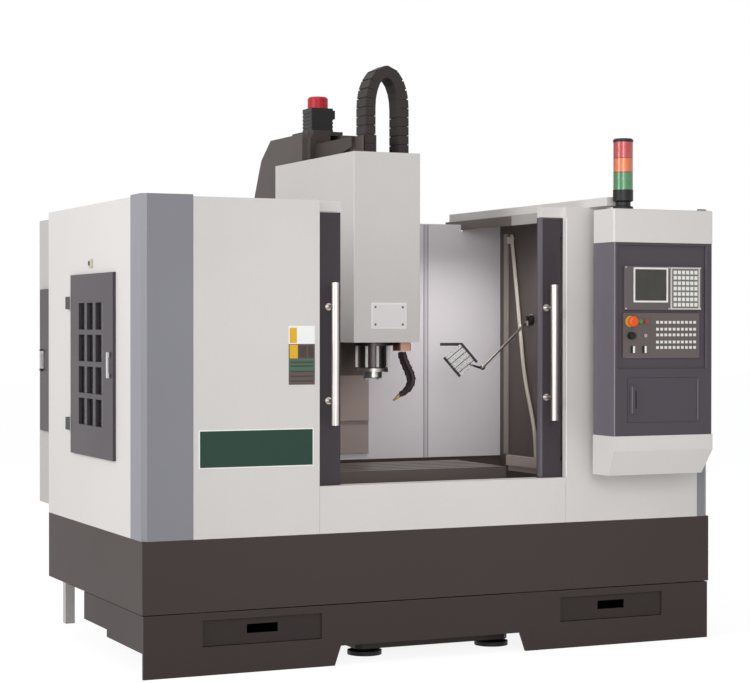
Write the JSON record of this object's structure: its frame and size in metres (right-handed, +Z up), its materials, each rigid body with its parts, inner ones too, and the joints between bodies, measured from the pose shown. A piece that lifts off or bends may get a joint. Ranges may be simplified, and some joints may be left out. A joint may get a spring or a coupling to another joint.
{
  "type": "vertical machining centre",
  "caption": "Vertical machining centre with cross table, spindle head, tool carousel, sliding doors, chip drawers, coolant tank, swivelling control pendant and signal tower.",
  "frame": {"origin": "middle of the machine's outline on the floor", "axes": "+Z up, +X to the operator's right, -Y to the operator"},
  "size_m": [2.756, 2.184, 2.6179],
  "materials": {
    "cast_paint": "satin",
    "pale_paint": "satin",
    "pillar_paint": "satin",
    "dark_paint": "satin",
    "tank_paint": "satin",
    "stainless": "brushed",
    "ground_steel": "ground",
    "satin_silver": "satin",
    "dark_door": "satin",
    "window": "clear",
    "screen": "clear",
    "black_plastic": "matte",
    "grey_plastic": "matte",
    "red_plastic": "gloss",
    "green_plastic": "gloss",
    "lens": "gloss",
    "black_motor": "satin"
  },
  "bodies": {
    "machine": {"bed": "cast_paint", "levelling_feet": "ground_steel", "column": "dark_paint", "z_servo_motor": "black_motor", "inner_back_wall": "stainless", "inner_right_wall": "stainless", "chip_tray": "stainless", "base_skirt": "dark_paint", "coolant_tank": "tank_paint", "front_left_panel": "pale_paint", "front_left_pillar": "pillar_paint", "sill_panel": "pale_paint", "front_right_panel": "pale_paint", "front_right_pillar": "pillar_paint", "left_side_panel": "pale_paint", "right_side_panel": "pale_paint", "electrical_cabinet": "pale_paint", "right_roof": "pale_paint", "cable_duct": "pale_paint", "pendant_post": "black_motor"},
    "left_chip_drawer": {"left_chip_drawer": "tank_paint"},
    "right_chip_drawer": {"right_chip_drawer": "tank_paint"},
    "left_service_door": {"left_service_door": "dark_door", "left_service_glass": "window"},
    "right_service_door": {"right_service_door": "dark_door"},
    "cabinet_door": {"cabinet_door": "dark_door"},
    "left_sliding_door": {"left_door": "dark_door", "left_door_glass": "window", "left_door_handle": "satin_silver"},
    "right_sliding_door": {"right_door": "dark_door", "right_door_glass": "window", "right_door_handle": "satin_silver"},
    "saddle": {"saddle": "cast_paint"},
    "table": {"table": "ground_steel"},
    "x_screw": {"x_ball_screw": "ground_steel"},
    "y_screw": {"y_ball_screw": "ground_steel"},
    "z_screw": {"z_ball_screw": "ground_steel"},
    "head": {"spindle_head": "cast_paint", "head_cover": "pale_paint", "coolant_hoses": "black_plastic"},
    "spindle": {"spindle": "ground_steel"},
    "z_cover": {"z_cover_middle": "stainless"},
    "drag_chain": {"drag_chain": "black_plastic"},
    "magazine_carriage": {"magazine_carriage": "cast_paint"},
    "carousel": {"tool_carousel": "ground_steel"},
    "pendant": {"pendant_housing": "dark_paint", "pendant_cap": "pale_paint", "pendant_base": "pale_paint", "control_unit": "satin_silver", "screen_glass": "screen", "operation_panel": "grey_plastic", "tower_lamp_stand": "black_plastic", "tower_lamp_lenses": "lens"},
    "pendant_door": {"pendant_door": "dark_paint"},
    "emergency_stop": {"emergency_stop": "red_plastic"},
    "feed_knob": {"feed_knob": "black_plastic"},
    "start_button": {"start_button": "green_plastic"},
    "hold_button": {"hold_button": "red_plastic"},
    "lamp_arm": {"lamp_arm": "satin_silver"},
    "lamp_head": {"lamp_head": "black_plastic"}
  },
  "joints": [
    {"name": "left_chip_drawer_slide", "type": "slide", "parent": "machine", "child": "left_chip_drawer", "axis": [0, -1, 0], "range_m": [0, 0.34]},
    {"name": "right_chip_drawer_slide", "type": "slide", "parent": "machine", "child": "right_chip_drawer", "axis": [0, -1, 0], "range_m": [0, 0.34]},
    {"name": "left_service_door_hinge", "type": "hinge", "parent": "machine", "child": "left_service_door", "pos_m": [-1.364, 0.2, 1.252], "axis": [0, 0, -1], "range_deg": [0, 110]},
    {"name": "right_service_door_hinge", "type": "hinge", "parent": "machine", "child": "right_service_door", "pos_m": [1.364, 0.2, 1.252], "axis": [0, 0, 1], "range_deg": [0, 110]},
    {"name": "cabinet_door_hinge", "type": "hinge", "parent": "machine", "child": "cabinet_door", "pos_m": [-1.284, 0.687, 1.256], "axis": [0, 0, 1], "range_deg": [0, 100]},
    {"name": "left_door_slide", "type": "slide", "parent": "machine", "child": "left_sliding_door", "axis": [1, 0, 0], "range_m": [0, 0.478]},
    {"name": "right_door_slide", "type": "slide", "parent": "machine", "child": "right_sliding_door", "axis": [-1, 0, 0], "range_m": [0, 0.478]},
    {"name": "y_slide", "type": "slide", "parent": "machine", "child": "saddle", "axis": [0, 1, 0], "range_m": [-0.24, 0.25]},
    {"name": "x_slide", "type": "slide", "parent": "saddle", "child": "table", "axis": [1, 0, 0], "range_m": [-0.43, 0.37]},
    {"name": "z_slide", "type": "slide", "parent": "machine", "child": "head", "axis": [0, 0, 1], "range_m": [-0.255, 0.245]},
    {"name": "x_screw_turn", "type": "hinge", "parent": "saddle", "child": "x_screw", "pos_m": [0.04, -0.102, 0.665], "axis": [1, 0, 0], "continuous": true},
    {"name": "y_screw_turn", "type": "hinge", "parent": "machine", "child": "y_screw", "pos_m": [0.04, -0.102, 0.455], "axis": [0, 1, 0], "continuous": true},
    {"name": "z_screw_turn", "type": "hinge", "parent": "machine", "child": "z_screw", "pos_m": [0, 0.598, 1.6], "axis": [0, 0, 1], "continuous": true},
    {"name": "spindle_turn", "type": "hinge", "parent": "head", "child": "spindle", "pos_m": [0.006, -0.042, 1.3], "axis": [0, 0, 1], "continuous": true},
    {"name": "z_cover_slide", "type": "slide", "parent": "machine", "child": "z_cover", "axis": [0, 0, 1], "range_m": [-0.1276, 0.1226]},
    {"name": "drag_chain_slide", "type": "slide", "parent": "machine", "child": "drag_chain", "axis": [0, 0, 1], "range_m": [-0.1276, 0.1226]},
    {"name": "magazine_slide", "type": "slide", "parent": "machine", "child": "magazine_carriage", "axis": [1, 0, 0], "range_m": [0, 0.486]},
    {"name": "carousel_turn", "type": "hinge", "parent": "magazine_carriage", "child": "carousel", "pos_m": [-0.75, -0.042, 1.15], "axis": [0, 0, 1], "continuous": true},
    {"name": "pendant_swivel", "type": "hinge", "parent": "machine", "child": "pendant", "pos_m": [1.14, -0.837, 1.35], "axis": [0, 0, 1], "range_deg": [0, 75]},
    {"name": "pendant_door_hinge", "type": "hinge", "parent": "pendant", "child": "pendant_door", "pos_m": [1.106, -1.056, 1.1], "axis": [0, 0, 1], "range_deg": [0, 100]},
    {"name": "emergency_stop_press", "type": "slide", "parent": "pendant", "child": "emergency_stop", "axis": [0, 1, 0], "range_m": [0, 0.006]},
    {"name": "feed_knob_turn", "type": "hinge", "parent": "pendant", "child": "feed_knob", "pos_m": [0.77, -1.067, 1.38], "axis": [0, -1, 0], "range_deg": [-135, 135]},
    {"name": "start_button_press", "type": "slide", "parent": "pendant", "child": "start_button", "axis": [0, 1, 0], "range_m": [0, 0.003], "stiffness_N_per_m": 400, "springref_m": -0.002},
    {"name": "hold_button_press", "type": "slide", "parent": "pendant", "child": "hold_button", "axis": [0, 1, 0], "range_m": [0, 0.003], "stiffness_N_per_m": 400, "springref_m": -0.002},
    {"name": "lamp_arm_swivel", "type": "hinge", "parent": "machine", "child": "lamp_arm", "pos_m": [0.901, 0.101, 1.434], "axis": [0, 0, 1], "range_deg": [-14, 20]},
    {"name": "lamp_head_tilt", "type": "hinge", "parent": "lamp_arm", "child": "lamp_head", "pos_m": [0.55, -0.088, 1.226], "axis": [1, 0, 0], "range_deg": [-25, 25]}
  ],
  "couplings": [
    {"joint": "x_screw_turn", "follows": "x_slide", "rad_per_m": 523.6},
    {"joint": "y_screw_turn", "follows": "y_slide", "rad_per_m": 523.6},
    {"joint": "z_screw_turn", "follows": "z_slide", "rad_per_m": 523.6},
    {"joint": "z_cover_slide", "follows": "z_slide", "ratio": 0.5},
    {"joint": "drag_chain_slide", "follows": "z_slide", "ratio": 0.5}
  ]
}
